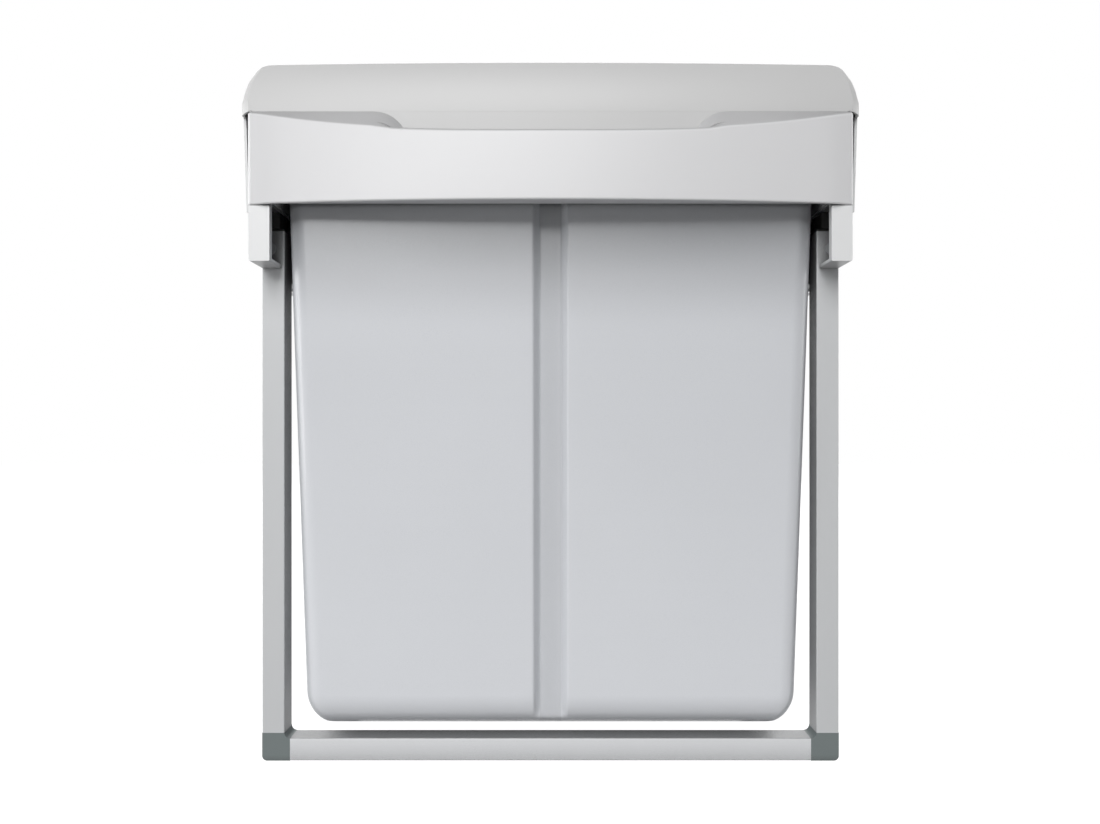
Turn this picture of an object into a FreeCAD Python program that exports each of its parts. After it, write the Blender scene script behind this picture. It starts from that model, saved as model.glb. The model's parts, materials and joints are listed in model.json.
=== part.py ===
import FreeCAD, Part
import math
import os

# Built-in waste bin: a floor frame of two upright U-frames carries a pair of
# ball slides. A ring with a grip fascia rides on the slides, holds the bin
# by its rim, and a hinged lid covers the ring.
# Millimetres. X is to the right, Y to the back, Z up from the cabinet floor.

V = FreeCAD.Vector
UP = V(0, 0, 1)
ACROSS = V(1, 0, 0)
BACK = V(0, 1, 0)
RIGHT = "right"
LEFT = "left"

# Floor frame
FRAME_WIDTH = 518.0
FRAME_DEPTH = 380.0
TUBE = 20.0
TUBE_WALL = 1.5
TUBE_EDGE = 1.0
LEG_TOP = 477.0
CORNER_ARM = 25.0
CORNER_ROUND = 4.5
CORNER_WEB = 5.0
PLUG_LENGTH = 22.0
PLUG_CLEARANCE = 0.2
LEG_CAP = 1.5
CROSS_BAR_Z = 432.0

# Floor tabs behind the bars
TAB_WIDTH = 30.0
TAB_REACH = 36.0
TAB_SHEET = 2.0
TAB_HEIGHT = 18.0
TAB_SPACING = 400.0
TAB_HOLE_SETBACK = 18.0
TAB_HOLE_R = 3.0

# Side bars, carriers and slides
SIDE_BAR_HEIGHT = 8.0
SIDE_BAR_WALL = 1.2
CARRIER_WALL = 2.0
CARRIER_BOX = 35.0
CARRIER_ABOVE_RAIL = 1.0
RAIL_FLOAT = 2.5
RAIL_HEIGHT = 45.5
RAIL_SHEET = 1.5
RAIL_DEPTH = 12.5
RAIL_END_GAP = 1.0
BALL_R = 2.2
BALL_PLAY = 0.3
WEB_SPACE = 3.0
MIDDLE_DEPTH = 7.0
INNER_SHEET = 2.0
INNER_DEPTH = 5.6
CAGE_SHEET = 0.8
CAGE_MARGIN = 4.0
BALL_PITCH = 12.0
TRAVEL = 360.0

# Ring, hanger and brackets
RING_OVERHANG = 12.5
RING_FLARE = 2.6
RING_WALL = 2.2
RING_BOTTOM = 490.0
RING_TOP = 573.0
RING_FRONT = -200.0
RING_REAR = 200.0
RING_CORNER = 14.0
PLATE_SET_BACK = 10.0
PLATE_Z = 560.0
PLATE = 3.0
OPENING_CORNER = 20.0
REAR_EDGE_TOP = 567.2
REAR_EDGE_BOTTOM = 530.0
REAR_CUT_DEPTH = 20.0
LIP = 2.0
LIP_DEPTH = 14.0
FRONT_WALL = 3.0
FRONT_WALL_Y = -209.5
FRONT_WALL_BOTTOM = 500.0
FRONT_WALL_SIDE_GAP = 4.0
HANGER_SHEET = 2.0
HANGER_LEAF = 14.0
HANGER_REAR = 150.0
BRACKET_WIDTH = 18.0
BRACKET_BOTTOM = 442.0
BRACKET_TOP = 556.0
BRACKET_WALL = 3.0
BRACKET_RAIL_WALL = 2.0
BRACKET_ROUND = 1.2
BUFFER_R = 6.0
BUFFER = 1.5
SEAT_GAP = 0.3
CAP_PLAY = 0.3
CAP_RISE = 1.0
BUFFER_EDGE = 0.5

# Grip fascia
FASCIA_OVERHANG = 0.3
FASCIA_END_Y = -221.0
FASCIA_BOW = 16.6
FASCIA_BOTTOM = 489.8
FASCIA_TOP_END = 569.5
FASCIA_DIP = 20.5
FASCIA_DIP_POWER = 2.9
FASCIA_WALL = 3.0
FASCIA_FLOOR = 2.5
FASCIA_RETURN = 18.0
FASCIA_TOP_ROUND = 4.0
LEDGE_BACK_Y = -214.2
LEDGE_BACK_Z = 572.8
LEDGE_SHEET = 4.0
LEDGE_ROWS = 17
LEDGE_PAST_FRONT = 0.6
LEDGE_PAST_BACK = 0.3
SCOOP_HALF_TOP = 149.0
SCOOP_HALF_BOTTOM = 119.5
SCOOP_BAR = 5.0
SCOOP_WALL = 2.5
SCOOP_DROP = 1.0
BOSS_R = 4.0
BOSS_X = (175.0, 215.0)
BOSS_Z = 522.0

# Bin
BIN_TOP = 566.0
BIN_BOTTOM = 26.0
BIN_DRAFT = 0.030
BIN_FRONT_DRAFT = 0.017
BIN_PLAY = 1.6
BIN_FRONT_TOP = -202.6
BIN_REAR_TOP = 152.6
BIN_CORNER = 18.0
BIN_FOOT_ROUND = 30.0
BIN_FOOT_STEPS = 6
BIN_WALL = 2.5
FLANGE = 3.0
FLANGE_REACH = 20.6
FLANGE_FRONT = -209.0
FLANGE_REAR = 190.0
GROOVE_MOUTH = 30.6
GROOVE_FLOOR = 19.0
GROOVE_DEPTH = 9.0
GROOVE_TOP = 545.0

# Lid
LID_BOTTOM = 573.3
LID_TOP = 620.5
LID_OVERHANG = 0.2
LID_FRONT = -213.0
LID_REAR = 200.0
LID_LEAN = 10.0
LID_SIDE_DROP = 20.0
LID_REAR_DROP = 10.0
LID_ROUND_POWER = 2.3
LID_CORNER = 9.5
LID_WALL = 2.5
LID_STEPS = 8
TONGUE_PLAY = 1.0
TONGUE_DEPTH = 20.0

# Lid hinges
HINGE_Y = 191.5
HINGE_Z = 577.0
HINGE_X = 170.0
EAR_WIDTH = 8.0
EAR_REACH = 11.5
EAR_POST = 7.0
LUG_WIDTH = 6.0
LUG_SIDE_GAP = 0.5
KNUCKLE_R = 4.5
PIN_R = 2.0
PIN_PLAY = 0.05

# Screws and rivets
SCREW_R = 2.0
SCREW_HEAD_R = 3.8
SCREW_HEAD = 2.2
RIVET_R = 2.0
RIVET_HEAD_R = 3.5
RIVET_HEAD = 0.8
FASTENER_MARGIN = 30.0
HEAD_SPACE = 1.0

# How far a cutting shape runs past what it cuts, and the finest round left on a corner
OVERRUN = 1.0
LEAST_ROUND = 1.0

# Places worked out from the sizes above
HALF_WIDTH = FRAME_WIDTH / 2
LEG_INNER = HALF_WIDTH - TUBE
RING_HALF_TOP = HALF_WIDTH + RING_OVERHANG
RING_HALF_BOTTOM = RING_HALF_TOP - RING_FLARE
OPENING_HALF = LEG_INNER
FASCIA_HALF = HALF_WIDTH + FASCIA_OVERHANG
FASCIA_TOP_MIDDLE = FASCIA_TOP_END - FASCIA_DIP
BIN_HALF_TOP = OPENING_HALF - BIN_PLAY
FLANGE_HALF = BIN_HALF_TOP + FLANGE_REACH
LID_HALF = RING_HALF_TOP + LID_OVERHANG
TONGUE_HALF = OPENING_HALF - TONGUE_PLAY
FRONT_Y = -FRAME_DEPTH / 2
REAR_Y = FRAME_DEPTH / 2
BETWEEN_FRONT = FRONT_Y + TUBE
BETWEEN_REAR = REAR_Y - TUBE
SIDE_BAR_Z = CROSS_BAR_Z
CARRIER_Z = SIDE_BAR_Z + SIDE_BAR_HEIGHT
CARRIER_SHELF_Z = CARRIER_Z + CARRIER_BOX
WALL_FACE_X = HALF_WIDTH - CARRIER_WALL
RAIL_Z = LEG_TOP + RAIL_FLOAT
RAIL_TOP_Z = RAIL_Z + RAIL_HEIGHT
CARRIER_TOP_Z = RAIL_TOP_Z + CARRIER_ABOVE_RAIL
RAIL_FRONT = BETWEEN_FRONT + RAIL_END_GAP
RAIL_REAR = BETWEEN_REAR - RAIL_END_GAP
RAIL_OVERLAP = RAIL_REAR - RAIL_FRONT - TRAVEL / 2
CAGE_LENGTH = RAIL_OVERLAP - 2 * CAGE_MARGIN
BALL_SPACE = 2 * (BALL_R + BALL_PLAY)
OUTER_WEB_X = WALL_FACE_X - RAIL_SHEET
OUTER_TIP_X = WALL_FACE_X - RAIL_DEPTH
MIDDLE_BACK_X = OUTER_WEB_X - WEB_SPACE
MIDDLE_TIP_X = MIDDLE_BACK_X - MIDDLE_DEPTH
MIDDLE_Z = RAIL_Z + RAIL_SHEET + BALL_SPACE
MIDDLE_TOP_Z = RAIL_TOP_Z - RAIL_SHEET - BALL_SPACE
INNER_Z = MIDDLE_Z + RAIL_SHEET + BALL_SPACE
INNER_TOP_Z = MIDDLE_TOP_Z - RAIL_SHEET - BALL_SPACE
INNER_FACE_X = OUTER_TIP_X - RAIL_SHEET
INNER_TIP_X = INNER_FACE_X + INNER_DEPTH
HANGER_X = INNER_FACE_X - HANGER_SHEET
HANGER_Z = INNER_Z + INNER_SHEET
BRACKET_X = INNER_FACE_X - BRACKET_RAIL_WALL
BRACKET_OUTER_X = BRACKET_X + BRACKET_WIDTH
BRACKET_BACK_Y = FRONT_Y - BUFFER - SEAT_GAP
BRACKET_SHOULDER_Y = FRONT_Y - CAP_PLAY
HANGER_FRONT = BRACKET_SHOULDER_Y + SEAT_GAP
BRACKET_SPLIT_Z = FASCIA_BOTTOM - SEAT_GAP
BRACKET_HEAD_FRONT = FASCIA_END_Y + FASCIA_WALL
BRACKET_HEAD_X = FASCIA_HALF - FASCIA_WALL - SEAT_GAP
CAVITY_FRONT = FASCIA_END_Y + FASCIA_WALL + BRACKET_WALL
FRONT_WALL_BACK = FRONT_WALL_Y + FRONT_WALL
PLATE_TOP = PLATE_Z + PLATE
OPENING_REAR = BIN_REAR_TOP + OPENING_HALF - BIN_HALF_TOP + LIP
BOW_RADIUS = (FASCIA_HALF ** 2 + FASCIA_BOW ** 2) / (2 * FASCIA_BOW)
BOW_CENTRE_Y = FASCIA_END_Y - FASCIA_BOW + BOW_RADIUS
LID_HEIGHT = LID_TOP - LID_BOTTOM


def box(x0, x1, y0, y1, z0, z1):
    return Part.makeBox(x1 - x0, y1 - y0, z1 - z0, V(x0, y0, z0))


def across_mirror(shape):
    return shape.mirror(V(0, 0, 0), ACROSS)


def depth_mirror(shape):
    return shape.mirror(V(0, 0, 0), BACK)


def rod(radius, start, direction, length):
    return Part.makeCylinder(radius, length, start, direction)


def join(shapes):
    return shapes[0].multiFuse(shapes[1:]).removeSplitter()


def export(node, shape):
    shape.exportStep(os.path.join("parts", node + ".step"))


def export_sides(name, shape):
    export(name + "_" + RIGHT, shape)
    export(name + "_" + LEFT, across_mirror(shape))


def rounded_edges(solid, radius, direction):
    edges = []
    for edge in solid.Edges:
        along = edge.Vertexes[-1].Point.sub(edge.Vertexes[0].Point)
        if along.Length > 0 and abs(along.normalize().dot(direction)) > 0.99:
            edges.append(edge)
    return solid.makeFillet(radius, edges)


def outline(half, front, rear, radius, z):
    bend = radius * (1 - math.sqrt(0.5))
    corners = (
        (half, rear, 1, 1),
        (-half, rear, -1, 1),
        (-half, front, -1, -1),
        (half, front, 1, -1),
    )
    edges = []
    last = None
    first = None
    for x, y, side, end in corners:
        on_side = V(x, y - end * radius, z)
        on_end = V(x - side * radius, y, z)
        middle = V(x - side * bend, y - end * bend, z)
        start, stop = (on_side, on_end) if side * end > 0 else (on_end, on_side)
        if last is None:
            first = start
        else:
            edges.append(Part.LineSegment(last, start).toShape())
        edges.append(Part.Arc(start, middle, stop).toShape())
        last = stop
    edges.append(Part.LineSegment(last, first).toShape())
    return Part.Wire(edges)


def slab(half, front, rear, radius, z0, z1):
    return Part.Face(outline(half, front, rear, radius, z0)).extrude(V(0, 0, z1 - z0))


def rows(count, low, high):
    step = (high - low) / (count - 1)
    return [low + step * i for i in range(count)]


def screw(tip, direction, grip):
    shank = rod(SCREW_R, tip, direction, grip)
    head_start = tip + direction * grip
    head = rod(SCREW_HEAD_R, head_start, direction, SCREW_HEAD)
    return shank.fuse(head).removeSplitter()


def rivet(start, direction, grip):
    shank = rod(RIVET_R, start, direction, grip)
    near = rod(RIVET_HEAD_R, start, direction * -1, RIVET_HEAD)
    far = rod(RIVET_HEAD_R, start + direction * grip, direction, RIVET_HEAD)
    return join([shank, near, far])


# Floor frame

def tube(x0, x1, y0, y1, z0, z1, direction):
    body = rounded_edges(box(x0, x1, y0, y1, z0, z1), TUBE_EDGE, direction)
    inset = [0 if abs(direction.dot(axis)) > 0 else TUBE_WALL for axis in (ACROSS, BACK, UP)]
    return body.cut(box(x0 + inset[0], x1 - inset[0], y0 + inset[1], y1 - inset[1],
                        z0 + inset[2], z1 - inset[2]))


def leg():
    return tube(LEG_INNER, HALF_WIDTH, FRONT_Y, BETWEEN_FRONT, CORNER_ARM, LEG_TOP - LEG_CAP, UP)


def floor_bar():
    reach = HALF_WIDTH - CORNER_ARM
    return tube(-reach, reach, FRONT_Y, BETWEEN_FRONT, 0, TUBE, ACROSS)


def corner():
    inner = HALF_WIDTH - CORNER_ARM
    upright = box(LEG_INNER, HALF_WIDTH, FRONT_Y, BETWEEN_FRONT, 0, CORNER_ARM)
    foot = box(inner, HALF_WIDTH, FRONT_Y, BETWEEN_FRONT, 0, TUBE)
    web = box(inner, LEG_INNER, FRONT_Y, BETWEEN_FRONT, TUBE, CORNER_ARM)
    web = web.cut(rod(CORNER_WEB, V(inner, FRONT_Y, CORNER_ARM), BACK, TUBE))
    body = join([upright, foot, web])
    heel = [edge for edge in body.Edges
            if all(abs(v.X - HALF_WIDTH) < 0.01 and abs(v.Z) < 0.01 for v in edge.Vertexes)]
    body = body.makeFillet(CORNER_ROUND, heel)
    inset = TUBE_WALL + PLUG_CLEARANCE
    up_plug = box(LEG_INNER + inset, HALF_WIDTH - inset, FRONT_Y + inset, BETWEEN_FRONT - inset,
                  CORNER_ARM, CORNER_ARM + PLUG_LENGTH)
    side_plug = box(inner - PLUG_LENGTH, inner, FRONT_Y + inset, BETWEEN_FRONT - inset,
                    inset, TUBE - inset)
    return join([body, up_plug, side_plug])


def leg_plug():
    inset = TUBE_WALL + PLUG_CLEARANCE
    cap = rounded_edges(box(LEG_INNER, HALF_WIDTH, FRONT_Y, BETWEEN_FRONT,
                            LEG_TOP - LEG_CAP, LEG_TOP), TUBE_EDGE, UP)
    stem = box(LEG_INNER + inset, HALF_WIDTH - inset, FRONT_Y + inset, BETWEEN_FRONT - inset,
               LEG_TOP - LEG_CAP - PLUG_LENGTH, LEG_TOP - LEG_CAP)
    return join([cap, stem])


def floor_tab():
    centre = TAB_SPACING / 2
    side = TAB_WIDTH / 2
    leaf = box(centre - side, centre + side, BETWEEN_FRONT, BETWEEN_FRONT + TAB_REACH, 0, TAB_SHEET)
    upstand = box(centre - side, centre + side, BETWEEN_FRONT, BETWEEN_FRONT + TAB_SHEET,
                  TAB_SHEET, TAB_HEIGHT)
    hole = rod(TAB_HOLE_R, V(centre, BETWEEN_FRONT + TAB_HOLE_SETBACK, 0), UP, TAB_SHEET)
    return join([leaf, upstand]).cut(hole)


def rear_cross_bar():
    return tube(-LEG_INNER, LEG_INNER, BETWEEN_REAR, REAR_Y, CROSS_BAR_Z, CROSS_BAR_Z + TUBE, ACROSS)


def side_bar():
    body = box(LEG_INNER, HALF_WIDTH, BETWEEN_FRONT, BETWEEN_REAR, SIDE_BAR_Z, CARRIER_Z)
    hollow = box(LEG_INNER + SIDE_BAR_WALL, HALF_WIDTH - SIDE_BAR_WALL, BETWEEN_FRONT, BETWEEN_REAR,
                 SIDE_BAR_Z + SIDE_BAR_WALL, CARRIER_Z - SIDE_BAR_WALL)
    return body.cut(hollow)


# Slides

def carrier():
    low = box(LEG_INNER, HALF_WIDTH, BETWEEN_FRONT, BETWEEN_REAR, CARRIER_Z, CARRIER_SHELF_Z)
    hollow = box(LEG_INNER + CARRIER_WALL, WALL_FACE_X, BETWEEN_FRONT, BETWEEN_REAR,
                 CARRIER_Z + CARRIER_WALL, CARRIER_SHELF_Z - CARRIER_WALL)
    wall = box(WALL_FACE_X, HALF_WIDTH, BETWEEN_FRONT, BETWEEN_REAR, CARRIER_SHELF_Z, CARRIER_TOP_Z)
    return low.cut(hollow).fuse(wall).removeSplitter()


def channel(web_x, tip_x, sheet, low, high, front, rear):
    inward = 1 if tip_x > web_x else -1
    body = box(min(web_x, tip_x), max(web_x, tip_x), front, rear, low, high)
    gap_start = web_x + inward * sheet
    gap_stop = tip_x
    return body.cut(box(min(gap_start, gap_stop), max(gap_start, gap_stop), front, rear,
                        low + sheet, high - sheet))


def outer_rail():
    return channel(WALL_FACE_X, OUTER_TIP_X, RAIL_SHEET, RAIL_Z, RAIL_TOP_Z, RAIL_FRONT, RAIL_REAR)


def middle_rail():
    return channel(MIDDLE_BACK_X, MIDDLE_TIP_X, RAIL_SHEET, MIDDLE_Z, MIDDLE_TOP_Z,
                   RAIL_FRONT, RAIL_REAR)


def inner_rail():
    return channel(INNER_FACE_X, INNER_TIP_X, INNER_SHEET, INNER_Z, INNER_TOP_Z,
                   CAVITY_FRONT, RAIL_REAR)


def ball_cage(web_x, ball_x, low, high):
    half = CAGE_LENGTH / 2
    sheet = CAGE_SHEET / 2
    web = box(web_x - sheet, web_x + sheet, -half, half, low - sheet, high + sheet)
    parts = [web]
    count = int((CAGE_LENGTH - BALL_PITCH) / BALL_PITCH) + 1
    edge = (count - 1) * BALL_PITCH / 2
    for z in (low, high):
        parts.append(box(ball_x - BALL_R, web_x, -half, half, z - sheet, z + sheet))
        parts.extend(Part.makeSphere(BALL_R, V(ball_x, y, z)) for y in rows(count, -edge, edge))
    return join(parts)


def outer_cage():
    web_x = (OUTER_WEB_X + MIDDLE_BACK_X) / 2
    centre = (MIDDLE_BACK_X + MIDDLE_TIP_X) / 2
    reach = RAIL_SHEET + BALL_SPACE / 2
    return ball_cage(web_x, centre, RAIL_Z + reach, RAIL_TOP_Z - reach)


def inner_cage():
    web_x = (MIDDLE_BACK_X - RAIL_SHEET + INNER_TIP_X) / 2
    centre = (INNER_FACE_X + INNER_TIP_X) / 2
    reach = RAIL_SHEET + BALL_SPACE / 2
    return ball_cage(web_x, max(centre, MIDDLE_TIP_X + BALL_R), MIDDLE_Z + reach, MIDDLE_TOP_Z - reach)


def carrier_screws():
    x = (LEG_INNER + HALF_WIDTH) / 2
    grip = SIDE_BAR_HEIGHT + CARRIER_WALL
    places = rows(3, BETWEEN_FRONT + FASTENER_MARGIN, BETWEEN_REAR - FASTENER_MARGIN)
    return [screw(V(side * x, y, CARRIER_Z + CARRIER_WALL), UP * -1, grip)
            for side in (-1, 1) for y in places]


def rail_rivets():
    z = (RAIL_Z + RAIL_TOP_Z) / 2
    places = rows(3, RAIL_FRONT + FASTENER_MARGIN, RAIL_REAR - FASTENER_MARGIN)
    grip = CARRIER_WALL + RAIL_SHEET
    return [rivet(V(side * OUTER_WEB_X, y, z), ACROSS * side, grip)
            for side in (-1, 1) for y in places]


def pierced(shape, fasteners, radius, direction):
    tools = []
    for piece in fasteners:
        middle = piece.BoundBox.Center
        reach = V(direction) * (piece.BoundBox.DiagonalLength / 2)
        tools.append(rod(radius, middle - reach, direction, 2 * reach.Length))
    return shape.cut(Part.makeCompound(tools))


# Hangers, brackets and end caps on the moving rails

def hanger():
    upright = box(HANGER_X, INNER_FACE_X, HANGER_FRONT, HANGER_REAR, HANGER_Z, PLATE_Z)
    leaf = box(HANGER_X, HANGER_X + HANGER_LEAF, HANGER_FRONT, HANGER_REAR,
               PLATE_Z - HANGER_SHEET, PLATE_Z)
    return join([upright, leaf])


def hanger_rivets():
    z = (INNER_Z + INNER_TOP_Z) / 2
    places = rows(3, HANGER_FRONT + FASTENER_MARGIN, HANGER_REAR - FASTENER_MARGIN)
    return [rivet(V(side * HANGER_X, y, z), ACROSS * side, HANGER_SHEET + INNER_SHEET)
            for side in (-1, 1) for y in places]


def hanger_screws():
    x = HANGER_X + HANGER_LEAF - SCREW_HEAD_R - RAIL_SHEET
    places = rows(3, HANGER_FRONT + FASTENER_MARGIN, HANGER_REAR - FASTENER_MARGIN)
    return [screw(V(side * x, y, PLATE_TOP), UP * -1, PLATE + HANGER_SHEET)
            for side in (-1, 1) for y in places]


def front_bracket():
    low = box(BRACKET_X, BRACKET_OUTER_X, FASCIA_END_Y, BRACKET_BACK_Y, BRACKET_BOTTOM, BRACKET_SPLIT_Z)
    low = rounded_edges(low, BRACKET_ROUND, BACK)
    head = box(BRACKET_X, BRACKET_HEAD_X, BRACKET_HEAD_FRONT, BRACKET_SHOULDER_Y,
               BRACKET_SPLIT_Z - BRACKET_WALL, BRACKET_TOP)
    cavity = box(INNER_FACE_X, BRACKET_HEAD_X - BRACKET_WALL, CAVITY_FRONT, FRONT_Y,
                 BRACKET_BOTTOM + BRACKET_WALL, BRACKET_TOP - BRACKET_WALL)
    open_side = box(BRACKET_X, INNER_FACE_X, CAVITY_FRONT, BRACKET_SHOULDER_Y,
                    BRACKET_BOTTOM + BRACKET_WALL, HANGER_Z)
    return join([low, head]).cut(cavity).cut(open_side)


def bracket_screws():
    z = (INNER_Z + INNER_TOP_Z) / 2
    edge = SCREW_HEAD_R + HEAD_SPACE
    places = rows(2, CAVITY_FRONT + edge, BRACKET_BACK_Y - edge)
    grip = BRACKET_RAIL_WALL + INNER_SHEET
    return [screw(V(side * (INNER_FACE_X + INNER_SHEET), y, z), ACROSS * -side, grip)
            for side in (-1, 1) for y in places]


def rail_cap():
    body = box(INNER_FACE_X + CAP_PLAY, HALF_WIDTH - CAP_PLAY, BRACKET_SHOULDER_Y, BETWEEN_FRONT - CAP_PLAY,
               LEG_TOP + CAP_RISE, CARRIER_TOP_Z)
    window = box(INNER_FACE_X, INNER_TIP_X + CAP_PLAY, BRACKET_SHOULDER_Y, BETWEEN_FRONT,
                 INNER_Z - CAP_PLAY, INNER_TOP_Z + CAP_PLAY)
    return rounded_edges(body, BRACKET_ROUND, BACK).cut(window)


def stop_buffer():
    # It stands in front of the leg, where the thick outer wall of the bracket meets it.
    centre = V(HALF_WIDTH - BUFFER_EDGE - BUFFER_R, FRONT_Y, (BRACKET_BOTTOM + LEG_TOP) / 2)
    return rod(BUFFER_R, centre, BACK * -1, BUFFER)


# Ring

def ring_loft(inset):
    sections = [outline(half - inset, RING_FRONT - RING_CORNER, RING_REAR - inset, RING_CORNER - inset, z)
                for half, z in ((RING_HALF_BOTTOM, RING_BOTTOM), (RING_HALF_TOP, RING_TOP))]
    return Part.makeLoft(sections, True, True)


def ring_half(z):
    share = (z - RING_BOTTOM) / (RING_TOP - RING_BOTTOM)
    return RING_HALF_BOTTOM + (RING_HALF_TOP - RING_HALF_BOTTOM) * share


def ring_plate():
    # The plate under the bin's flange, with a lip that turns down around the opening.
    # The lip is left out along both hangers, which stand in its place.
    half = ring_half(PLATE_Z) - RING_WALL / 2
    plate = slab(half, RING_FRONT - RING_CORNER, RING_REAR - RING_WALL / 2, RING_CORNER,
                 PLATE_Z, PLATE_TOP)
    plate = plate.cut(box(-half, half, RING_FRONT - RING_CORNER, RING_FRONT, PLATE_Z, PLATE_TOP))
    for low, high in ((HALF_WIDTH, half), (-half, -HALF_WIDTH)):
        plate = plate.cut(box(low, high, RING_FRONT, RING_FRONT + PLATE_SET_BACK, PLATE_Z, PLATE_TOP))
    lip_bottom = PLATE_Z - LIP_DEPTH
    lip_half = OPENING_HALF + LIP
    lip = slab(lip_half, FRONT_WALL_Y, OPENING_REAR + LIP, OPENING_CORNER + LIP, lip_bottom, PLATE_TOP)
    for low, high in ((OPENING_HALF, lip_half), (-lip_half, -OPENING_HALF)):
        lip = lip.cut(box(low, high, FRONT_WALL_Y, HANGER_REAR + LIP, lip_bottom, PLATE_Z))
    opening = slab(OPENING_HALF, FRONT_WALL_BACK, OPENING_REAR, OPENING_CORNER, lip_bottom, PLATE_TOP)
    return join([plate, lip]).cut(opening)


def ring():
    behind_front = box(-RING_HALF_TOP, RING_HALF_TOP, RING_FRONT, RING_REAR, RING_BOTTOM, RING_TOP)
    skirt = ring_loft(0).cut(ring_loft(RING_WALL)).common(behind_front)
    wall_half = OPENING_HALF - FRONT_WALL_SIDE_GAP
    front_wall = box(-wall_half, wall_half, FRONT_WALL_Y, FRONT_WALL_BACK, FRONT_WALL_BOTTOM, PLATE_TOP)
    under_half = RING_HALF_BOTTOM - RING_WALL
    under = box(-under_half, under_half, OPENING_REAR, RING_REAR, RING_BOTTOM, REAR_EDGE_BOTTOM)
    over = box(-RING_HALF_TOP, RING_HALF_TOP, RING_REAR - REAR_CUT_DEPTH, RING_REAR,
               REAR_EDGE_TOP, RING_TOP)
    return join([skirt, ring_plate(), front_wall]).cut(under).cut(over)


# Grip fascia

def bow_y(x, inset):
    return BOW_CENTRE_Y - math.sqrt((BOW_RADIUS - inset) ** 2 - x * x)


def bow_wire(half, inset, back, z):
    front = bow_y(half, inset)
    points = (V(half, back, z), V(-half, back, z), V(-half, front, z), V(half, front, z))
    bow = Part.Arc(points[2], V(0, bow_y(0, inset), z), points[3]).toShape()
    return Part.Wire([Part.LineSegment(points[0], points[1]).toShape(),
                      Part.LineSegment(points[1], points[2]).toShape(),
                      bow,
                      Part.LineSegment(points[3], points[0]).toShape()])


def bow_slab(half, inset, back, z0, z1):
    return Part.Face(bow_wire(half, inset, back, z0)).extrude(V(0, 0, z1 - z0))


def bar_top_z(x):
    return FASCIA_TOP_MIDDLE + FASCIA_DIP * (abs(x) / FASCIA_HALF) ** FASCIA_DIP_POWER


def above_ledge(drop):
    # The space above the sloping ledge, from in front of the bar to behind the fascia.
    front_points = []
    back_points = []
    reach = FASCIA_HALF + FASCIA_WALL
    for x in rows(LEDGE_ROWS, -reach, reach):
        front = V(x, bow_y(min(abs(x), FASCIA_HALF), 0), bar_top_z(x) - drop)
        back = V(x, LEDGE_BACK_Y, LEDGE_BACK_Z - drop)
        along = back - front
        front_points.append(front - along * LEDGE_PAST_FRONT)
        back_points.append(back + along * LEDGE_PAST_BACK)
    front_curve = Part.BSplineCurve()
    front_curve.interpolate(front_points)
    back_curve = Part.BSplineCurve()
    back_curve.interpolate(back_points)
    sheet = Part.makeRuledSurface(front_curve.toShape(), back_curve.toShape())
    return sheet.extrude(V(0, 0, LID_HEIGHT + FASCIA_DIP + drop))


def top_front_edges(solid):
    middle = (FASCIA_BOTTOM + FASCIA_TOP_END) / 2
    found = []
    for edge in solid.Edges:
        point = edge.Vertexes[0].Point
        at_front = point.y < LEDGE_BACK_Y - FASCIA_WALL
        if edge.Length > FASCIA_HALF and at_front and point.z > middle:
            found.append(edge)
    return found


def bar_body(ceiling):
    body = bow_slab(FASCIA_HALF, 0, LEDGE_BACK_Y, FASCIA_BOTTOM, ceiling).cut(above_ledge(0))
    return body.makeFillet(FASCIA_TOP_ROUND, top_front_edges(body))


def scoop(widen, inset, back, floor, top):
    return Part.makeLoft([bow_wire(SCOOP_HALF_BOTTOM + widen, inset, back, floor),
                          bow_wire(SCOOP_HALF_TOP + widen, inset, back, top)], True, True)


def fascia():
    ceiling = LEDGE_BACK_Z + OVERRUN
    hollow = bow_slab(FASCIA_HALF - FASCIA_WALL, FASCIA_WALL, LEDGE_BACK_Y + OVERRUN, FASCIA_BOTTOM, ceiling)
    hollow = hollow.cut(above_ledge(LEDGE_SHEET))
    shell = bar_body(ceiling).cut(hollow)
    end_return = box(FASCIA_HALF - FASCIA_WALL, FASCIA_HALF, FASCIA_END_Y, FASCIA_END_Y + FASCIA_RETURN,
                     FASCIA_BOTTOM, FASCIA_TOP_END)
    floor_plate = bow_slab(OPENING_HALF, FASCIA_WALL / 2, FRONT_WALL_Y,
                           FASCIA_BOTTOM, FASCIA_BOTTOM + FASCIA_FLOOR)
    pocket = scoop(SCOOP_WALL, FASCIA_WALL / 2, FRONT_WALL_Y, FASCIA_BOTTOM - SCOOP_DROP, ceiling)
    pocket = pocket.cut(above_ledge(0))
    behind_tongue = box(-FASCIA_HALF, FASCIA_HALF, LEDGE_BACK_Y, FRONT_WALL_Y + OVERRUN, BOSS_Z, ceiling)
    pocket = pocket.cut(behind_tongue)
    bosses = []
    pilots = []
    for x in BOSS_X:
        for side in (-1, 1):
            front = bow_y(x, FASCIA_WALL / 2)
            start = V(side * x, FRONT_WALL_Y, BOSS_Z)
            bosses.append(rod(BOSS_R, start, BACK * -1, FRONT_WALL_Y - front))
            pilots.append(rod(SCREW_R, start, BACK * -1, FRONT_WALL_Y - front - FASCIA_WALL))
    body = join([shell, end_return, across_mirror(end_return), floor_plate, pocket] + bosses)
    inside = scoop(0, SCOOP_BAR, FRONT_WALL_Y + OVERRUN, FASCIA_BOTTOM - SCOOP_DROP + SCOOP_WALL, ceiling)
    return body.cut(inside).cut(Part.makeCompound(pilots))


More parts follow.
